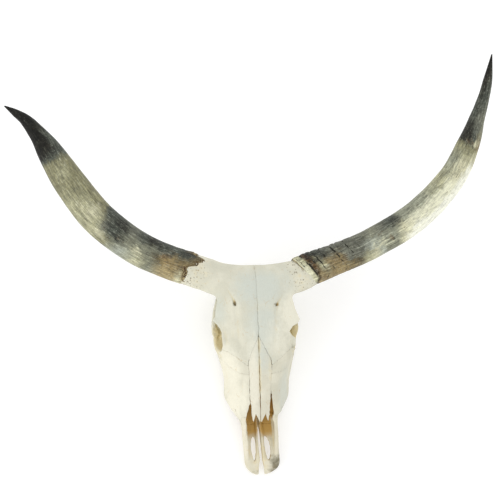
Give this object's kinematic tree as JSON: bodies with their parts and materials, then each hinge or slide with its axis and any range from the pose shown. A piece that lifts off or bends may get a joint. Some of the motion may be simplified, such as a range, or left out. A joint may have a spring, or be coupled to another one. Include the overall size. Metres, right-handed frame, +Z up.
{
  "type": "long-horned cow skull",
  "caption": "Cow skull without its lower jaw, with long spreading horns, lying face up on its teeth and the back of its base.",
  "frame": {"origin": "on the floor, under the middle of the whole skull's bounding box", "axes": "+Z up from the floor that the skull lies on, +Y from the nose to the poll, +X to the side, the viewer's right when the nose is nearest"},
  "size_m": [1.2168, 0.963, 0.4129],
  "materials": {
    "bone_forehead": "matt weathered bone",
    "bone_cream": "matt cream bone",
    "bone_nasal": "matt cream bone",
    "bone_nose": "matt yellowed bone",
    "horn": "dull fibrous horn"
  },
  "bodies": {
    "root": {"cranium": "bone_forehead", "zygomatic_left": "bone_cream", "zygomatic_right": "bone_cream", "maxilla_left": "bone_cream", "maxilla_right": "bone_cream", "nasal_left": "bone_nasal", "nasal_right": "bone_nasal", "premaxilla_left": "bone_nose", "premaxilla_right": "bone_nose", "horn_sheath_left": "horn", "horn_sheath_right": "horn"}
  },
  "joints": []
}
